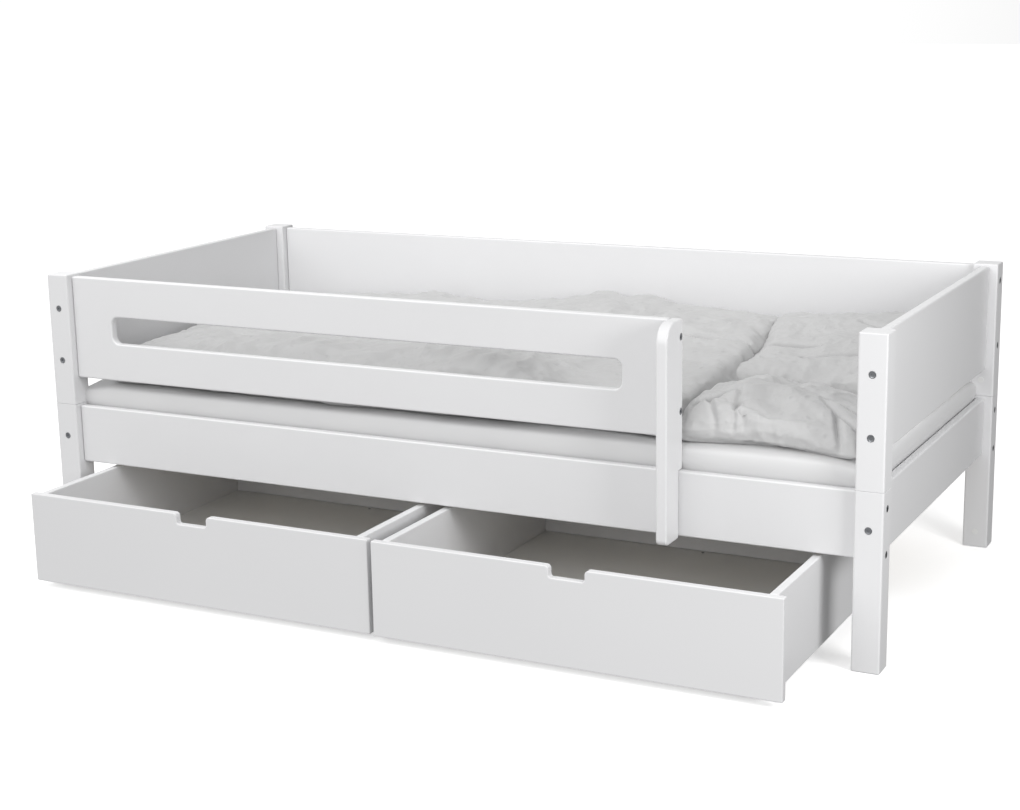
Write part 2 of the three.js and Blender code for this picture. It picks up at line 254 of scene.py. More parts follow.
def makeBirch(name, lengthAxis):
    # planed birch, clear sealed: pale straw with fine darker fibres along the board
    v = birchValues
    material, tree, shader, place = newMaterial(name)
    stretch = [1 / v["grainWide"]] * 3
    stretch[lengthAxis] = 1 / v["grainLong"]
    fine = [1 / v["fibreWide"]] * 3
    fine[lengthAxis] = 1 / v["grainLong"]
    grainPlace = addNode(tree, "Mapping", {"Scale": stretch}, {"Vector": place})
    fibrePlace = addNode(tree, "Mapping", {"Scale": fine}, {"Vector": place})
    grain = addNode(tree, "TexNoise", {"Scale": 1.0, "Detail": 4.0, "Distortion": 0.6},
                    {"Vector": grainPlace.outputs[0]})
    fibre = addNode(tree, "TexNoise", {"Scale": 1.0, "Detail": 2.0}, {"Vector": fibrePlace.outputs[0]})
    both = addNode(tree, "Math", {"operation": "MULTIPLY"}, {0: grain.outputs[0], 1: fibre.outputs[0]})
    spread = addNode(tree, "MapRange", {"From Min": 0.12, "From Max": 0.4}, {"Value": both.outputs[0]})
    tone = addNode(tree, "Mix", {"data_type": "RGBA", 6: linear(v["ring"]), 7: linear(v["pale"])},
                   {"Factor": spread.outputs[0]})
    bump = addNode(tree, "Bump", {"Strength": 0.3, "Distance": v["fibreDeep"]}, {"Height": fibre.outputs[0]})
    tree.links.new(tone.outputs[2], shader.inputs["Base Color"])
    tree.links.new(bump.outputs[0], shader.inputs["Normal"])
    shader.inputs["Roughness"].default_value = v["rough"]
    return material


steelValues = dict(light="A6A8AB", dark="77797D", roughLow=0.25, roughHigh=0.42, stainSize=6 * mm,
                   scratchSize=1 * mm, scratchDeep=0.03 * mm)


def makeZincSteel():
    # zinc-plated steel: blue-grey metal with a cloudy, slightly brushed plating
    v = steelValues
    material, tree, shader, place = newMaterial("zinc-plated steel")
    stain = addNode(tree, "TexNoise", {"Scale": 1 / v["stainSize"], "Detail": 3.0}, {"Vector": place})
    tone = addNode(tree, "Mix", {"data_type": "RGBA", 6: linear(v["dark"]), 7: linear(v["light"])},
                   {"Factor": stain.outputs[0]})
    rough = addNode(tree, "MapRange", {"To Min": v["roughLow"], "To Max": v["roughHigh"]},
                    {"Value": stain.outputs[0]})
    scratch = addNode(tree, "TexNoise", {"Scale": 1 / v["scratchSize"]}, {"Vector": place})
    bump = addNode(tree, "Bump", {"Strength": 0.25, "Distance": v["scratchDeep"]},
                   {"Height": scratch.outputs[0]})
    tree.links.new(tone.outputs[2], shader.inputs["Base Color"])
    tree.links.new(rough.outputs[0], shader.inputs["Roughness"])
    tree.links.new(bump.outputs[0], shader.inputs["Normal"])
    shader.inputs["Metallic"].default_value = 1.0
    return material


def makeMoulded(name, light, dark, roughness, grainSize, grainDeep):
    # injection-moulded part: one colour with a fine spark-eroded grain
    material, tree, shader, place = newMaterial(name)
    cloud = addNode(tree, "TexNoise", {"Scale": 1 / (20 * mm), "Detail": 2.0}, {"Vector": place})
    tone = addNode(tree, "Mix", {"data_type": "RGBA", 6: linear(dark), 7: linear(light)},
                   {"Factor": cloud.outputs[0]})
    grain = addNode(tree, "TexNoise", {"Scale": 1 / grainSize, "Detail": 1.0}, {"Vector": place})
    bump = addNode(tree, "Bump", {"Strength": 0.4, "Distance": grainDeep}, {"Height": grain.outputs[0]})
    tree.links.new(tone.outputs[2], shader.inputs["Base Color"])
    tree.links.new(bump.outputs[0], shader.inputs["Normal"])
    shader.inputs["Roughness"].default_value = roughness
    return material


sheetValues = dict(light="D6D6D6", dark="D0D0D1", rough=0.85, sheen=0.15, cloudSize=180 * mm,
                   threadSize=2.2 * mm, threadDeep=0.12 * mm, rippleSize=70 * mm, rippleDeep=2.5 * mm,
                   rippleStretch=(0.35, 1.0, 1.0))
# the washed cotton's dark colour is painted shade, laid into the creases of the cloth
quiltValues = dict(light="BFBFBF", dark="9E9E9F", rough=0.9, sheen=0.2, threadSize=2.2 * mm,
                   threadDeep=0.15 * mm, crinkleSize=16 * mm, crinkleDeep=1.6 * mm, foldSize=48 * mm,
                   foldDeep=3.5 * mm, warpSize=120 * mm, warpDeep=60 * mm)


def weaveHeight(tree, place, threadSize):
    # plain weave; real threads are 0.3 mm apart, drawn coarse enough to show
    # a wave texture repeats every 2 pi / 20 at scale 1
    size = 2 * math.pi / threadSize / 20
    warp, weft, rise = [addNode(tree, "TexWave", {"bands_direction": way, "Scale": size, "Distortion": 0.4},
                                {"Vector": place}) for way in ("X", "Y", "Z")]
    flat = addNode(tree, "Math", {"operation": "MULTIPLY"}, {0: warp.outputs[1], 1: weft.outputs[1]})
    return addNode(tree, "Math", {"operation": "MULTIPLY_ADD", 2: 0.0},
                   {0: rise.outputs[1], 1: flat.outputs[0]})


def makeSheetCotton():
    # smooth white percale, stretched: matt, soft ripples, a faint fuzz at the edge of a form
    v = sheetValues
    material, tree, shader, place = newMaterial("white cotton percale")
    cloud = addNode(tree, "TexNoise", {"Scale": 1 / v["cloudSize"], "Detail": 3.0}, {"Vector": place})
    tone = addNode(tree, "Mix", {"data_type": "RGBA", 6: linear(v["dark"]), 7: linear(v["light"])},
                   {"Factor": cloud.outputs[0]})
    stretch = addNode(tree, "Mapping", {"Scale": v["rippleStretch"]}, {"Vector": place})
    ripple = addNode(tree, "TexNoise", {"Scale": 1 / v["rippleSize"], "Detail": 3.0},
                     {"Vector": stretch.outputs[0]})
    soft = addNode(tree, "Bump", {"Strength": 0.35, "Distance": v["rippleDeep"]},
                   {"Height": ripple.outputs[0]})
    weave = weaveHeight(tree, place, v["threadSize"])
    bump = addNode(tree, "Bump", {"Strength": 0.25, "Distance": v["threadDeep"]},
                   {"Height": weave.outputs[0], "Normal": soft.outputs[0]})
    tree.links.new(tone.outputs[2], shader.inputs["Base Color"])
    tree.links.new(bump.outputs[0], shader.inputs["Normal"])
    shader.inputs["Roughness"].default_value = v["rough"]
    shader.inputs["Sheen Weight"].default_value = v["sheen"]
    return material


def makeWashedCotton():
    # garment-washed cotton: matt light grey, crinkled all over, with painted shade that makes the creases a
    # shade darker
    v = quiltValues
    material, tree, shader, place = newMaterial("washed grey cotton")
    bent = addNode(tree, "TexNoise", {"Scale": 1 / v["warpSize"], "Detail": 2.0}, {"Vector": place})
    warped = addNode(tree, "VectorMath", {"operation": "MULTIPLY_ADD", 1: [v["warpDeep"]] * 3},
                     {0: bent.outputs[1], 2: place})
    fold = addNode(tree, "TexNoise",
                   {"noise_type": "RIDGED_MULTIFRACTAL", "Scale": 1 / v["foldSize"], "Detail": 3.0},
                   {"Vector": warped.outputs[0]})
    crinkle = addNode(tree, "TexNoise",
                      {"noise_type": "RIDGED_MULTIFRACTAL", "Scale": 1 / v["crinkleSize"], "Detail": 2.0},
                      {"Vector": warped.outputs[0]})
    # painted shade: the colour turns from light to dark along the crinkle folds, where shade falls in them
    paintedCreaseShade = addNode(tree, "MapRange", {"From Min": 0.2, "From Max": 1.6}, {"Value": crinkle.outputs[0]})
    tone = addNode(tree, "Mix", {"data_type": "RGBA", 6: linear(v["light"]), 7: linear(v["dark"])},
                   {"Factor": paintedCreaseShade.outputs[0]})
    soft = addNode(tree, "Bump", {"Strength": 0.5, "Distance": v["foldDeep"]}, {"Height": fold.outputs[0]})
    small = addNode(tree, "Bump", {"Strength": 0.45, "Distance": v["crinkleDeep"]},
                    {"Height": crinkle.outputs[0], "Normal": soft.outputs[0]})
    weave = weaveHeight(tree, place, v["threadSize"])
    bump = addNode(tree, "Bump", {"Strength": 0.25, "Distance": v["threadDeep"]},
                   {"Height": weave.outputs[0], "Normal": small.outputs[0]})
    tree.links.new(tone.outputs[2], shader.inputs["Base Color"])
    tree.links.new(bump.outputs[0], shader.inputs["Normal"])
    shader.inputs["Roughness"].default_value = v["rough"]
    shader.inputs["Sheen Weight"].default_value = v["sheen"]
    return material


lacquer = makeSatinLacquer()
hardboard = makeCoatedHardboard()
birchAcross = makeBirch("sealed birch, grain across the bed", 1)
birchAlong = makeBirch("sealed birch, grain along the bed", 0)
zincSteel = makeZincSteel()
greyNylon = makeMoulded("moulded grey nylon", "8A8E93", "7C8085", 0.45, 1.5 * mm, 0.05 * mm)
blackTread = makeMoulded("moulded black tread rubber", "2C2D30", "242528", 0.6, 1.2 * mm, 0.08 * mm)
whiteCap = makeMoulded("moulded white cap", "E4E4E3", "DCDCDB", 0.35, 1.5 * mm, 0.03 * mm)
sheetCotton = makeSheetCotton()
washedCotton = makeWashedCotton()
print("materials are made")


# camera, floor and light

stageValues = dict(
    eye=(2.0063, -3.8546, 1.3933), turn=(76.971, 1.013, 26.936), lens=66.02, sensorWide=36, farClip=200,
    floorColour="FFFFFF", floorGlow=0.35, floorRough=0.9, floorSize=60, floorDrop=0.5 * mm,
    lowStrength=0.52, airStrength=0.72, horizon=(-0.15, 0.1),
    farStrength=1.03, farWay=(-0.45, 0.89, 0), farSpread=(0.6, 0.85),
    dimShare=0.27, dimWay=(0.85, 0.52, 0), dimSpread=(0.2, 0.85),
    sunWay=(0.36, 0.82, -0.68), sunPower=0.79, sunAngle=50,
    # each soft box: place, aim, size and power
    boxes=(((2.6, -1.0, 1.2), (0.2, 0, 0.45), 0.8, 30), ((0.4, -4.4, 2.1), (-0.3, 0, 0.2), 1.4, 30),
           ((-0.9, -0.7, 2.2), (-0.9, 0.2, 0.5), 0.8, 13)))


def makeStage():
    v = stageValues
    pick()
    bpy.ops.object.camera_add(location=v["eye"], rotation=[math.radians(a) for a in v["turn"]])
    camera = bpy.context.object
    camera.name = "stageCamera"
    camera.data.lens = v["lens"]
    camera.data.sensor_width = v["sensorWide"]
    camera.data.sensor_fit = "HORIZONTAL"
    camera.data.clip_end = v["farClip"]
    bpy.context.scene.camera = camera

    pick()
    bpy.ops.mesh.primitive_plane_add(size=v["floorSize"], location=(0, 0, -v["floorDrop"]))
    floor = bpy.context.object
    floor.name = "studioFloor"
    material, tree, shader, place = newMaterial("matt white studio floor")
    shader.inputs["Base Color"].default_value = linear(v["floorColour"])
    shader.inputs["Roughness"].default_value = v["floorRough"]
    shader.inputs["Specular IOR Level"].default_value = 0.0
    shader.inputs["Emission Color"].default_value = linear(v["floorColour"])
    shader.inputs["Emission Strength"].default_value = v["floorGlow"]
    floor.data.materials.append(material)
    # the air below gives the bounced light instead, a little dimmer
    floor.visible_diffuse = False
    floor.visible_glossy = False

    world = bpy.data.worlds.new("studioAir")
    world.use_nodes = True
    # white air: dimmer below the horizon, brighter at the far left, where the studio is lit, and dark
    # at the far right
    tree = world.node_tree
    way = addNode(tree, "TexCoord").outputs["Generated"]
    toFar = addNode(tree, "VectorMath", {"operation": "DOT_PRODUCT", 1: v["farWay"]}, {0: way})
    height = addNode(tree, "SeparateXYZ", links={0: way})
    even = addNode(tree, "MapRange",
                   {"interpolation_type": "SMOOTHSTEP", "From Min": v["horizon"][0],
                    "From Max": v["horizon"][1], "To Min": v["lowStrength"], "To Max": v["airStrength"]},
                   {"Value": height.outputs["Z"]})
    glow = addNode(tree, "MapRange",
                   {"interpolation_type": "SMOOTHSTEP", "From Min": v["farSpread"][0],
                    "From Max": v["farSpread"][1], "To Max": v["farStrength"]},
                   {"Value": toFar.outputs["Value"], "To Min": even.outputs[0]})
    toDim = addNode(tree, "VectorMath", {"operation": "DOT_PRODUCT", 1: v["dimWay"]}, {0: way})
    dim = addNode(tree, "MapRange",
                  {"interpolation_type": "SMOOTHSTEP", "From Min": v["dimSpread"][0],
                   "From Max": v["dimSpread"][1], "To Min": 1.0, "To Max": v["dimShare"]},
                  {"Value": toDim.outputs["Value"]})
    strength = addNode(tree, "Math", {"operation": "MULTIPLY"}, {0: glow.outputs[0], 1: dim.outputs[0]})
    air = tree.nodes.get("Background")
    air.inputs["Color"].default_value = (1, 1, 1, 1)
    tree.links.new(strength.outputs[0], air.inputs["Strength"])
    bpy.context.scene.world = world

    pick()
    bpy.ops.object.light_add(type="SUN")
    sun = bpy.context.object
    sun.name = "wideSoftKey"
    sun.data.energy = v["sunPower"]
    sun.data.angle = math.radians(v["sunAngle"])
    sun.rotation_euler = Vector(v["sunWay"]).to_track_quat("-Z", "Y").to_euler()

    for i, (place, aim, size, power) in enumerate(v["boxes"]):
        pick()
        bpy.ops.object.light_add(type="AREA", location=place)
        fill = bpy.context.object
        fill.name = f"fillSoftBox{i + 1}"
        fill.data.size = size
        fill.data.energy = power
        fill.rotation_euler = (Vector(aim) - Vector(place)).to_track_quat("-Z", "Y").to_euler()
    bpy.context.scene.view_settings.view_transform = "Standard"


makeStage()
print("camera, floor and light are set")


# connecting bolts: where each one lies, worked out from the ones in the frame

boltValues = dict(radius=7.5 * mm, high=3 * mm, edge=0.7 * mm, seatRadius=7.9 * mm, seatDeep=3.4 * mm,
                  shank=3 * mm, shankLong=22 * mm, hexAcross=5 * mm, hexDeep=2.6 * mm,
                  rim=0.9 * mm, dishSlope=2.2 * mm, dishDeep=1 * mm)


def boltSpots():
    # each spot: name, middle of the head's face, and the way it points
    faceHeights = [middleOf(f"bolt_front_left_face_{i}").z for i in (1, 2, 3)]
    lowHeights = [middleOf(f"bolt_front_right_edge_{i}").z for i in (1, 2)]
    highHeights = [middleOf(f"bolt_entry_bar_{i}").z for i in (1, 2)]
    spots = []
    for end, outward in (("front", -1), ("back", 1)):
        for side, sideways in (("left", -1), ("right", 1)):
            low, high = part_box(f"lower_post_{end}_{side}")
            middle = (low + high) / 2
            faceY = low.y if end == "front" else high.y
            faceX = low.x if side == "left" else high.x
            edgeHeights = lowHeights + (highHeights if (end, side) != ("front", "right") else [])
            for i, z in enumerate(faceHeights):
                point = Vector((middle.x, faceY, z))
                spots.append((f"{end}_{side}_face_{i + 1}", point, Vector((0, outward, 0))))
            for i, z in enumerate(edgeHeights):
                point = Vector((faceX, middle.y, z))
                spots.append((f"{end}_{side}_edge_{i + 1}", point, Vector((sideways, 0, 0))))
    for i in (1, 2):
        middle = middleOf(f"bolt_entry_bar_{i}")
        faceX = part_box(f"bolt_entry_bar_{i}")[1].x
        spots.append((f"entry_bar_{i}", Vector((faceX, middle.y, middle.z)), Vector((1, 0, 0))))
    return spots


spots = boltSpots()


def cutSeat(piece, spot):
    v = boltValues
    point, outward = spot[1:]
    combine(piece, addRod("seatTool", v["seatRadius"], point + outward * v["seatDeep"],
                          point - outward * v["seatDeep"], 40))


def makeBolts():
    v = boltValues
    bolt = addRod("hexBolt", v["radius"], (0, 0, -v["high"]), (0, 0, 0), 40)
    topRing = lambda a, b: a.z > -tiny and b.z > -tiny
    roundEdges(bolt, topRing, v["edge"], 3)
    # a narrow flat rim, then a shallow dish down to the socket
    pick(bolt)
    bpy.ops.object.mode_set(mode="EDIT")
    bpy.ops.mesh.select_mode(type="FACE")
    bpy.ops.mesh.select_all(action="DESELECT")
    mesh = bmesh.from_edit_mesh(bolt.data)
    for face in mesh.faces:
        face.select_set(face.normal.z > 0.99 and face.calc_center_median().z > -tiny)
    bmesh.update_edit_mesh(bolt.data)
    bpy.ops.mesh.inset(thickness=v["rim"])
    bpy.ops.mesh.inset(thickness=v["dishSlope"], depth=-v["dishDeep"])
    bpy.ops.object.mode_set(mode="OBJECT")
    shank = addRod("shankTool", v["shank"], (0, 0, -v["shankLong"]), (0, 0, -v["high"] / 2), 24)
    combine(bolt, shank, "UNION")
    corner = v["hexAcross"] / math.sqrt(3)
    combine(bolt, addRod("socketTool", corner, (0, 0, -v["hexDeep"]), (0, 0, v["hexDeep"]), 6))
    for name, point, outward in spots:
        turn = outward.to_track_quat("Z", "Y").to_matrix().to_4x4()
        twin = copyOf(bolt, "hexBolt_" + name, Matrix.Translation(point) @ turn)
        node = "bolt_" + name
        finishHard(twin, "frame", zincSteel, [node] if node in frame["nodes"] else [])
    bpy.data.objects.remove(bolt)


makeBolts()
print("bolts are made:", len(spots))


# posts: a foot section and a guard section each, with a fine groove at the seam

postValues = dict(edge=4 * mm, seamEdge=0.9 * mm, endEdge=3 * mm, capRadius=7 * mm, capProud=0.8 * mm,
                  capUp=39 * mm, capEdge=0.5 * mm)


def makePosts():
    v = postValues
    for end in ("front", "back"):
        for side in ("left", "right"):
            for level in ("lower", "upper"):
                node = f"{level}_post_{end}_{side}"
                low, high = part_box(node)
                post = addBlock(node + "_piece", low, high)
                roundEdges(post, along(2), v["edge"], 4)
                topEdge, bottomEdge = v["seamEdge"], v["endEdge"]
                if level == "upper":
                    topEdge, bottomEdge = bottomEdge, topEdge
                roundEdges(post, lambda a, b: min(a.z, b.z) > high.z - tiny, topEdge, 3)
                roundEdges(post, lambda a, b: max(a.z, b.z) < low.z + tiny, bottomEdge, 3)
                for spot in spots:
                    point = spot[1]
                    if all(low[k] - mm < point[k] < high[k] + mm for k in range(3)):
                        cutSeat(post, spot)
                finishHard(post, "frame", lacquer, [node])
                # cover cap over the spare hole, on the face towards the mattress
                inward = 1 if end == "front" else -1
                faceY = high.y if end == "front" else low.y
                middle = (low + high) / 2
                start = Vector((middle.x, faceY, low.z + v["capUp"]))
                cap = addRod(f"hole_cap_{level}_{end}_{side}", v["capRadius"], start,
                             start + Vector((0, inward * v["capProud"], 0)))
                outer = faceY + inward * v["capProud"]
                rim = lambda a, b: abs(a.y - outer) < tiny and abs(b.y - outer) < tiny
                roundEdges(cap, rim, v["capEdge"], 2)
                finishHard(cap, "frame", whiteCap)


makePosts()
print("posts are made")


# rails and panels of the frame

boardValues = dict(edge=4 * mm, slotFromEnd=113.7 * mm, slotFromBar=103.7 * mm, slotHigh=65 * mm,
                   slotDrop=1 * mm, slotRadius=18 * mm)
barValues = dict(edge=4 * mm, topRadius=43 * mm, footRadius=12 * mm, gap=0.3 * mm)


def makeBoard(node, edge=boardValues["edge"], material=None):
    low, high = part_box(node)
    piece = addBlock(node + "_piece", low, high)
    modify(piece, "BEVEL", width=edge, segments=4, limit_method="ANGLE")
    finishHard(piece, bodyOf[node], material or lacquer, [node])


def makeSafetyRail():
    v = boardValues
    low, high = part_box("safety_rail")
    rail = addBlock("safety_rail_piece", low, high)
    bottom = (low.z + high.z - v["slotHigh"]) / 2 - v["slotDrop"]
    tool = addBlock("slotTool", (low.x + v["slotFromEnd"], low.y - overshoot, bottom),
                    (high.x - v["slotFromBar"], high.y + overshoot, bottom + v["slotHigh"]))
    roundEdges(tool, along(1), v["slotRadius"], 10)
    combine(rail, tool)
    modify(rail, "BEVEL", width=v["edge"], segments=4, limit_method="ANGLE")
    finishHard(rail, "frame", lacquer, ["safety_rail"])


def makeEntryBar():
    v = barValues
    low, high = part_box("entry_bar")
    railLow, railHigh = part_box("side_rail_front")
    bar = addBlock("entry_bar_piece", low, high)
    notch = addBlock("notchTool", (low.x - overshoot, railLow.y - v["gap"], low.z - overshoot),
                     (high.x + overshoot, high.y + overshoot, railHigh.z + v["gap"]))
    combine(bar, notch)
    topFront = lambda a, b: along(0)(a, b) and a.z > high.z - tiny and a.y < low.y + tiny
    footFront = lambda a, b: along(0)(a, b) and a.z < low.z + tiny and a.y < low.y + tiny
    roundEdges(bar, topFront, v["topRadius"], 12)
    roundEdges(bar, footFront, v["footRadius"], 6)
    modify(bar, "BEVEL", width=v["edge"], segments=4, limit_method="ANGLE")
    for spot in spots:
        if spot[0].startswith("entry_bar"):
            cutSeat(bar, spot)
    finishHard(bar, "frame", lacquer, ["entry_bar"])


for node in ("side_rail_front", "side_rail_back", "back_panel", "end_rail_left", "end_rail_right",
             "end_panel_left", "end_panel_right"):
    makeBoard(node)
makeSafetyRail()
makeEntryBar()
print("rails, panels and entry bar are made")


# slatted base: battens, slats and the straps that hold them

slatValues = dict(count=16, wide=70 * mm, thick=12 * mm, edge=2 * mm, battenEdge=1.5 * mm,
                  strapWide=25 * mm, strapThick=1 * mm, strapEdge=0.3 * mm, strapInset=5 * mm,
                  strapShares=(0.2, 0.8))


def makeSlats():
    v = slatValues
    for node in ("slat_batten_front", "slat_batten_back"):
        makeBoard(node, v["battenEdge"], birchAlong)
    low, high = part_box("slat_roll")
    slatTop = high.z - v["strapThick"]
    pitch = (high.x - low.x - v["wide"]) / (v["count"] - 1)
    first = addBlock("slat", (low.x, low.y, slatTop - v["thick"]), (low.x + v["wide"], high.y, slatTop))
    modify(first, "BEVEL", width=v["edge"], segments=3, limit_method="ANGLE")
    for i in range(v["count"]):
        slat = copyOf(first, f"slat_{i + 1:02d}", Matrix.Translation((i * pitch, 0, 0)))
        finishHard(slat, "frame", birchAcross, ["slat_roll"])
    bpy.data.objects.remove(first)
    for k, share in enumerate(v["strapShares"]):
        middle = low.y + share * (high.y - low.y)
        half = v["strapWide"] / 2
        strap = addBlock(f"slat_strap_{k + 1}", (low.x + v["strapInset"], middle - half, slatTop),
                         (high.x - v["strapInset"], middle + half, high.z))
        modify(strap, "BEVEL", width=v["strapEdge"], segments=2, limit_method="ANGLE")
        finishHard(strap, "frame", sheetCotton, ["slat_roll"])


makeSlats()
print("slatted base is made")


# drawers and their castors

drawerValues = dict(edge=2.5 * mm, floorEdge=0.8 * mm, grooveRoom=0.3 * mm,
                    notchWide=80 * mm, notchDeep=25 * mm, notchOuter=9 * mm, notchInner=6 * mm,
                    screwRadius=3.4 * mm, screwHigh=1 * mm, screwEdge=0.6 * mm, screwFromBack=9 * mm,
                    crossReach=2 * mm, crossWide=0.16, crossUp=0.4 * mm)
castorValues = dict(wheelRadius=14 * mm, wheelWide=12 * mm, treadEdge=2.2 * mm, hubRadius=8.5 * mm,
                    hubDeep=1.2 * mm, axleRadius=2 * mm, housingEdge=0.5 * mm, housingAngle=50,
                    weld=0.01 * mm, flatAngle=2)


def makeDrawer(side):
    v = drawerValues
    floorLow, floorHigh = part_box(f"drawer_{side}_floor")
    room = Vector((v["grooveRoom"],) * 3)

    def cutGroove(piece):
        combine(piece, addBlock("grooveTool", floorLow - room, floorHigh + room))

    node = f"drawer_front_{side}"
    low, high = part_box(node)
    middle = (low + high) / 2
    front = addBlock(node + "_piece", low, high)
    half = v["notchWide"] / 2
    tool = addBlock("notchTool", (middle.x - half, low.y - overshoot, high.z - v["notchDeep"]),
                    (middle.x + half, high.y + overshoot, high.z + overshoot))
    roundEdges(tool, lambda a, b: along(1)(a, b) and a.z < high.z, v["notchInner"], 6)
    combine(front, tool)
    atSides = lambda a: a.z > high.z - tiny and abs(abs(a.x - middle.x) - half) < tiny
    roundEdges(front, lambda a, b: along(1)(a, b) and atSides(a), v["notchOuter"], 8)
    modify(front, "BEVEL", width=v["edge"], segments=4, limit_method="ANGLE")
    cutGroove(front)
    finishHard(front, bodyOf[node], lacquer, [node])

    for node in (f"drawer_{side}_side_left", f"drawer_{side}_side_right", f"drawer_{side}_back"):
        low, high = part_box(node)
        wall = addBlock(node + "_piece", low, high)
        modify(wall, "BEVEL", width=v["edge"], segments=4, limit_method="ANGLE")
        if "_side_" in node:
            cutGroove(wall)
        finishHard(wall, bodyOf[node], lacquer, [node])
    makeBoard(f"drawer_{side}_floor", v["floorEdge"], hardboard)

    # pan-head screw that holds the floor up at its middle, just in front of the back board
    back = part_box(f"drawer_{side}_back")[0].y
    spot = Vector(((floorLow.x + floorHigh.x) / 2, back - v["screwFromBack"], floorHigh.z))
    screw = addRod(f"floor_screw_{side}", v["screwRadius"], spot, spot + Vector((0, 0, v["screwHigh"])), 24)
    top = spot.z + v["screwHigh"]
    roundEdges(screw, lambda a, b: min(a.z, b.z) > top - tiny, v["screwEdge"], 3)
    for turn in ((1, v["crossWide"]), (v["crossWide"], 1)):
        reach = Vector((turn[0], turn[1], 0)) * v["crossReach"]
        combine(screw, addBlock("crossTool", spot - reach + Vector((0, 0, v["crossUp"])),
                                spot + reach + Vector((0, 0, 2 * v["screwHigh"]))))
    finishHard(screw, bodyOf[f"drawer_{side}_floor"], zincSteel)


def makeCastors():
    v = castorValues
    base = "castor_left_1"
    # housing: the plain one from the frame, with its corners broken
    housing = frame["nodes"][base + "_housing"].copy()
    housing.data = housing.data.copy()
    housing.parent = None
    housing.hide_render = False
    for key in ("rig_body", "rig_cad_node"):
        del housing[key]
    bpy.context.scene.collection.objects.link(housing)
    housing.name = "housingModel"
    pick(housing)
    bpy.ops.object.mode_set(mode="EDIT")
    bpy.ops.mesh.select_all(action="SELECT")
    bpy.ops.mesh.remove_doubles(threshold=v["weld"])
    bpy.ops.mesh.dissolve_limited(angle_limit=math.radians(v["flatAngle"]))
    bpy.ops.object.mode_set(mode="OBJECT")
    modify(housing, "BEVEL", width=v["housingEdge"], segments=2, limit_method="ANGLE",
           angle_limit=math.radians(v["housingAngle"]))

    middle = middleOf(base + "_wheel")
    half = Vector((v["wheelWide"] / 2, 0, 0))
    wheel = addRod("wheelModel", v["wheelRadius"], middle - half, middle + half, 48)
    rims = lambda a, b: abs(a.x - b.x) < tiny and abs(abs(a.x - middle.x) - half.x) < tiny
    roundEdges(wheel, rims, v["treadEdge"], 4)
    for way in (-1, 1):
        outer = middle + half * way * 1.5
        inner = middle + way * (half - Vector((v["hubDeep"], 0, 0)))
        combine(wheel, addRod("hubTool", v["hubRadius"], inner, outer))
    low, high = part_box(base + "_wheel")
    axle = addRod("axleTool", v["axleRadius"], (low.x, middle.y, middle.z), (high.x, middle.y, middle.z), 20)
    combine(wheel, axle, "UNION")
    for side in ("left", "right"):
        for n in (1, 2, 3, 4):
            node = f"castor_{side}_{n}"
            shift = Matrix.Translation(middleOf(node + "_wheel") - middle)
            twin = copyOf(housing, node + "_fork", shift)
            finishHard(twin, bodyOf[node + "_housing"], greyNylon, [node + "_housing"])
            twin = copyOf(wheel, node + "_roller", shift)
            finishHard(twin, bodyOf[node + "_wheel"], blackTread, [node + "_wheel"])
    bpy.data.objects.remove(housing)
    bpy.data.objects.remove(wheel)


for side in ("left", "right"):
    makeDrawer(side)
makeCastors()
print("drawers and castors are made")


# soft goods

# a fixed seed, because noise_vector otherwise starts from the clock and folds the bedding anew each run
noise.seed_set(1795099031)


def smoothStep(low, high, value):
    t = min(max((value - low) / (high - low), 0), 1)
    return t * t * (3 - 2 * t)


def shapeForm(name, cuts, place):
    # a block of many faces; place maps each point of the cube from -1 to 1 to its real place
    form = addBlock(name, (-1, -1, -1), (1, 1, 1))
    pick(form)
    bpy.ops.object.mode_set(mode="EDIT")
    bpy.ops.mesh.select_all(action="SELECT")
    bpy.ops.mesh.subdivide(number_cuts=cuts)
    bpy.ops.object.mode_set(mode="OBJECT")
    for vertex in form.data.vertices:
        vertex.co = place(*vertex.co)
    return form


def relax(form, voxel):
    modify(form, "REMESH", mode="VOXEL", voxel_size=voxel, adaptivity=0.0)


clothValues = dict(quality=4, mass=0.3, shearPart=3, frames=20)


def simulate(form, v, floorZ, droop=0.0):
    # fills the cloth with air without gravity, then holds each point within a set travel
    start = [vertex.co.copy() for vertex in form.data.vertices]
    pick(form)
    cloth = form.modifiers.new("cloth", "CLOTH")
    s = cloth.settings
    s.quality = clothValues["quality"]
    s.mass = clothValues["mass"]
    s.tension_stiffness = v["stiff"]
    s.compression_stiffness = v["stiff"]
    s.shear_stiffness = v["stiff"] / clothValues["shearPart"]
    s.bending_stiffness = v["bend"]
    s.use_pressure = True
    s.uniform_pressure_force = v["pressure"]
    s.shrink_min = v["shrink"]
    s.effector_weights.gravity = 0
    cloth.collision_settings.use_collision = False
    for step in range(1, clothValues["frames"] + 1):
        bpy.context.scene.frame_set(step)
    bpy.ops.object.modifier_apply(modifier=cloth.name)
    bpy.context.scene.frame_set(1)
    for vertex, old in zip(form.data.vertices, start):
        move = vertex.co - old
        if move.length > v["travel"]:
            move.length = v["travel"]
        vertex.co = old + move
        vertex.co.z = max(vertex.co.z, min(floorZ, old.z) if droop else floorZ)


crumpleValues = dict(bendSize=160 * mm, bendDeep=35 * mm, bare=2 * mm, fade=14 * mm)


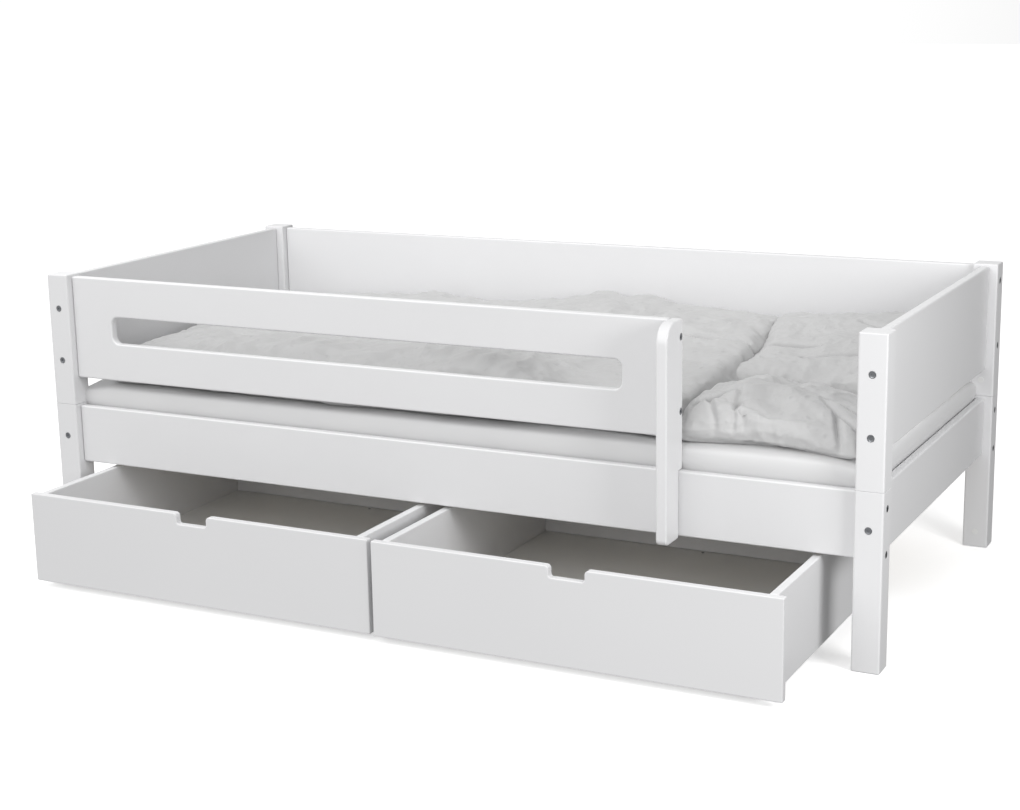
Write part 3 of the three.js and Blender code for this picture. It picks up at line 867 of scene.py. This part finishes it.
def crumple(form, floorZ, waves, creases=(), seed=0.0):
    # moves points along their normals: waves are (size, depth, ridged), creases are
    # (start, end, width, depth) lines seen from above
    v = crumpleValues
    normals = [vertex.normal.copy() for vertex in form.data.vertices]
    for vertex, normal in zip(form.data.vertices, normals):
        p = vertex.co
        if p.z < floorZ + v["bare"]:
            continue
        move = 0.0
        bend = noise.noise_vector(p / v["bendSize"] + Vector((seed, 3.1, 0.7))) * v["bendDeep"]
        for size, depth, ridged in waves:
            q = (p + bend) / size + Vector((seed * 1.7, seed, seed * 0.4))
            value = noise.noise(q)
            move += depth * ((0.25 - abs(value)) * 2 if ridged else value)
        for start, end, width, depth in creases:
            a, b = Vector(start), Vector(end)
            flat = Vector((p.x, p.y))
            share = (flat - a).dot(b - a) / (b - a).length_squared
            away = (flat - (a + (b - a) * min(max(share, 0), 1))).length
            fade = smoothStep(-0.15, 0.15, share) * smoothStep(1.15, 0.85, share)
            move -= depth * fade * math.exp(-(away / width) ** 2) * max(normal.z + 0.4, 0)
        fade = smoothStep(floorZ, floorZ + v["fade"], p.z)
        vertex.co = p + normal * move * fade


def finishSoft(piece, material, nodeList):
    pick(piece)
    bpy.ops.object.shade_smooth()
    finish(piece, "frame", material, nodeList)


mattressValues = dict(outward=2.5 * mm, lower=3 * mm, swell=8 * mm, swellBand=20 * mm, corner=20 * mm,
                      round=14 * mm, voxel=16 * mm, cornerDrop=10 * mm, cornerReach=110 * mm,
                      stiff=12, bend=2.0, pressure=3.0, shrink=-0.01, travel=5 * mm,
                      sheetOff=1.2 * mm, sheetThick=0.7 * mm, sheetStops=14 * mm)


def makeMattress():
    v = mattressValues
    low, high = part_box("mattress")
    middle = (low + high) / 2
    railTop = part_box("side_rail_front")[1].z
    more = Vector((v["outward"], v["outward"], 0))
    mattress = addBlock("mattress_piece", low - more, high + more - Vector((0, 0, v["lower"])))
    roundEdges(mattress, along(2), v["corner"], 10)
    modify(mattress, "BEVEL", width=v["round"], segments=4, limit_method="ANGLE")
    relax(mattress, v["voxel"])
    # the top sinks a little towards the four corners, where the sheet pulls it down
    for vertex in mattress.data.vertices:
        p = vertex.co
        toCorner = Vector((min(p.x - low.x, high.x - p.x), min(p.y - low.y, high.y - p.y))).length
        lift = (p.z - low.z) / (high.z - low.z)
        p.z -= v["cornerDrop"] * lift * smoothStep(v["cornerReach"], 0, toCorner)
        # and the sides swell a little over the rails
        swell = v["swell"] * smoothStep(railTop - 4 * mm, railTop + 16 * mm, p.z)
        for k in (0, 1):
            if abs(p[k] - middle[k]) > (high[k] - low[k]) / 2 - v["swellBand"]:
                p[k] += math.copysign(swell, p[k] - middle[k])
    simulate(mattress, v, low.z)
    sheet = copyOf(mattress, "fitted_sheet", Matrix.Identity(4))
    modify(mattress, "SUBSURF", levels=1, render_levels=1)
    finishSoft(mattress, sheetCotton, ["mattress"])

    # the fitted sheet wraps the top and the sides and stops a little above the underside
    pick(sheet)
    bpy.ops.object.mode_set(mode="EDIT")
    bpy.ops.mesh.select_mode(type="FACE")
    bpy.ops.mesh.select_all(action="DESELECT")
    mesh = bmesh.from_edit_mesh(sheet.data)
    for face in mesh.faces:
        face.select_set(face.calc_center_median().z < low.z + v["sheetStops"])
    bmesh.update_edit_mesh(sheet.data)
    bpy.ops.mesh.delete(type="FACE")
    bpy.ops.object.mode_set(mode="OBJECT")
    for vertex, normal in zip(sheet.data.vertices, [x.normal.copy() for x in sheet.data.vertices]):
        vertex.co += normal * v["sheetOff"]
    modify(sheet, "SUBSURF", levels=1, render_levels=1)
    crumple(sheet, low.z - 1, [(160 * mm, 1.2 * mm, False)], seed=4.0)
    modify(sheet, "SOLIDIFY", thickness=v["sheetThick"], offset=1.0)
    finishSoft(sheet, sheetCotton, [])


bagValues = dict(underFull=1.6, offBase=1 * mm)
pillowFrontValues = dict(ahead=10 * mm, right=22 * mm, droop=12 * mm, droopReach=50 * mm, sunk=12 * mm,
                         shrunk=6 * mm, waist=0.04, voxel=6 * mm, stiff=8, bend=0.15, pressure=2.0,
                         shrink=-0.07, travel=12 * mm)
pillowRearValues = dict(over=12 * mm, sunk=14 * mm, shrunk=6 * mm, waist=0.01, voxel=7 * mm, stiff=8,
                        bend=0.15, pressure=2.0, shrink=-0.07, travel=12 * mm)


def bagHeight(top, seamShare, plump, t):
    # height of a filled bag's skin: it bulges from the seam up to top and, flatter, down to the base
    seam = seamShare * top
    if t > 0:
        rise = (top - seam) * plump * t
    else:
        rise = seam * min(plump * bagValues["underFull"], 1) * t
    return seam + rise + bagValues["offBase"]


def pillowPlace(low, high, v, crown, fullness, seamShare):
    # a filled bag lying flat: thin corners, sides pulled in, full middle; crown gives the height,
    # fullness how square each way stays, seamShare how high the seam lies
    middle = (low + high) / 2
    half = (high - low) / 2 - Vector((v["shrunk"], v["shrunk"], 0))

    def place(u, w, t):
        plump = ((1 - abs(u) ** fullness[0]) * (1 - abs(w) ** fullness[1])) ** 0.5
        x = middle.x + half.x * u * (1 - v["waist"] * (1 - w * w))
        y = middle.y + half.y * w * (1 - v["waist"] * (1 - u * u))
        return Vector((x, y, low.z + bagHeight(crown(u, w), seamShare, plump, t)))
    return place


def makePillowFront():
    v = pillowFrontValues
    low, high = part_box("pillow_front")
    low = low + Vector((v["right"], -v["ahead"], 0))
    tall = high.z - low.z - v["sunk"]
    # highest near its front edge, falling away towards the rear pillow and to the head end
    crown = lambda u, w: tall * (0.84 - 0.34 * smoothStep(-0.3, 0.95, u) - 0.16 * smoothStep(0.0, 0.9, w))
    pillow = shapeForm("pillow_front_piece", 28, pillowPlace(low, high, v, crown, (6, 4), 0.14))
    for vertex in pillow.data.vertices:
        vertex.co.z -= v["droop"] * smoothStep(low.y + v["droopReach"], low.y, vertex.co.y)
    relax(pillow, v["voxel"])
    simulate(pillow, v, low.z, v["droop"])
    modify(pillow, "SUBSURF", levels=1, render_levels=1)
    left, front = low.x, low.y
    # puckers at the corners and along the front edge
    creases = [((left + 0.03, front + 0.04), (left + 0.11, front + 0.12), 7 * mm, 9 * mm),
               ((left + 0.105, front - 0.01), (left + 0.06, front + 0.06), 6 * mm, 7 * mm),
               ((left + 0.135, front - 0.01), (left + 0.115, front + 0.11), 6 * mm, 8 * mm),
               ((left + 0.165, front - 0.01), (left + 0.14, front + 0.04), 6 * mm, 7 * mm),
               ((high.x - 0.035, front + 0.0), (high.x - 0.075, front + 0.10), 7 * mm, 12 * mm),
               ((high.x - 0.0, front + 0.05), (high.x - 0.12, front + 0.15), 9 * mm, 8 * mm),
               ((high.x - 0.02, front + 0.15), (high.x - 0.2, front + 0.19), 9 * mm, 7 * mm)]
    crumple(pillow, low.z, [(95 * mm, 5 * mm, True), (42 * mm, 2.5 * mm, True), (18 * mm, 0.9 * mm, True)],
            creases, seed=1.0)
    finishSoft(pillow, washedCotton, ["pillow_front"])


def makePillowRear():
    v = pillowRearValues
    low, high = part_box("pillow_rear")
    low = low - Vector((v["over"], 0, 0))
    tall = high.z - low.z - v["sunk"]
    # highest along its back and towards the head end
    crown = lambda u, w: tall * (0.46 + 0.33 * smoothStep(-0.75, 0.55, w) + 0.09 * smoothStep(-0.6, 0.5, u))
    pillow = shapeForm("pillow_rear_piece", 30, pillowPlace(low, high, v, crown, (70, 8), 0.25))
    relax(pillow, v["voxel"])
    simulate(pillow, v, low.z)
    modify(pillow, "SUBSURF", levels=1, render_levels=1)
    left, front = low.x, low.y
    # one long fold across, in two parts, then puckers at the head end
    creases = [((left - 0.1, front + 0.163), (left + 0.17, front + 0.172), 6 * mm, 20 * mm),
               ((left + 0.16, front + 0.10), (high.x + 0.05, front + 0.15), 7 * mm, 14 * mm),
               ((high.x - 0.2, front + 0.3), (high.x - 0.05, front + 0.2), 8 * mm, 6 * mm),
               ((high.x - 0.14, front + 0.04), (high.x - 0.03, front + 0.1), 7 * mm, 6 * mm)]
    crumple(pillow, low.z, [(80 * mm, 5 * mm, True), (32 * mm, 2 * mm, True), (14 * mm, 0.7 * mm, True)],
            creases, seed=2.0)
    finishSoft(pillow, washedCotton, ["pillow_rear"])


duvetValues = dict(over=20 * mm, footOut=8 * mm, sunk=12 * mm, shrunk=4 * mm, footRound=36 * mm,
                   edgeRound=60 * mm, endRound=9 * mm, sideWander=12 * mm, endWander=14 * mm,
                   topWander=0.12, seamShare=0.35, voxel=12 * mm, stiff=6, bend=0.2, pressure=1.2,
                   shrink=-0.06, travel=16 * mm)


def makeDuvet():
    v = duvetValues
    low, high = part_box("duvet")
    low, high = low - Vector((v["footOut"], 0, 0)), high + Vector((v["over"], 0, 0))
    half = (high - low) / 2 - Vector((v["shrunk"], v["shrunk"], 0))
    middle = (low + high) / 2
    tall = high.z - low.z - v["sunk"]

    def heightAt(share, w):
        # thin at the foot, a long low stretch, then the hump where it is pushed together;
        # towards the pillows it slopes down to the open side
        rise = 0.44 + 0.24 * smoothStep(0.0, 0.14, share)
        hump = smoothStep(0.45, 0.69, share) - 0.5 * smoothStep(0.69, 0.82, share)
        slope = 0.5 * (1 - smoothStep(-0.7, 0.85, w)) * smoothStep(0.62, 0.9, share)
        return tall * (rise + 0.28 * hump) * (1 - slope)

    def place(u, w, t):
        x = middle.x + half.x * u
        y = middle.y + half.y * w + v["sideWander"] * noise.noise(Vector((x * 4, w * 3, 5.0))) * abs(w) ** 4
        x += v["endWander"] * noise.noise(Vector((y * 5, u * 2, 9.0))) * abs(u) ** 6
        wander = 1 + v["topWander"] * noise.noise(Vector((x * 3.2, y * 4.5, 1.0)))
        top = heightAt((u + 1) / 2, w) * wander
        inX = min(1, (1 - abs(u)) * half.x / (v["footRound"] if u < 0 else v["endRound"]))
        inY = min(1, (1 - abs(w)) * half.y / v["edgeRound"])
        plump = ((1 - (1 - inX) ** 2) * (1 - (1 - inY) ** 2)) ** 0.5
        return Vector((x, y, low.z + bagHeight(top, v["seamShare"], plump, t)))

    duvet = shapeForm("duvet_piece", 60, place)
    relax(duvet, v["voxel"])
    crumple(duvet, low.z, [(260 * mm, 10 * mm, True), (110 * mm, 8 * mm, True)], seed=6.0)
    simulate(duvet, v, low.z)
    modify(duvet, "SUBSURF", levels=1, render_levels=1)
    right = high.x
    # folds where it is pushed together next to the pillows
    creases = [((right - 0.20, low.y + 0.54), (right + 0.1, low.y + 0.545), 6 * mm, 18 * mm),
               ((right - 0.16, low.y + 0.60), (right - 0.03, low.y + 0.72), 8 * mm, 6 * mm),
               ((right - 0.30, low.y + 0.36), (right - 0.06, low.y + 0.40), 10 * mm, 6 * mm)]
    crumple(duvet, low.z, [(75 * mm, 6 * mm, True), (34 * mm, 3 * mm, True), (16 * mm, 1 * mm, True)],
            creases, seed=3.0)
    finishSoft(duvet, washedCotton, ["duvet"])


makeMattress()
print("mattress and sheet are made")
makePillowFront()
makePillowRear()
print("pillows are made")
makeDuvet()
print("duvet is made")
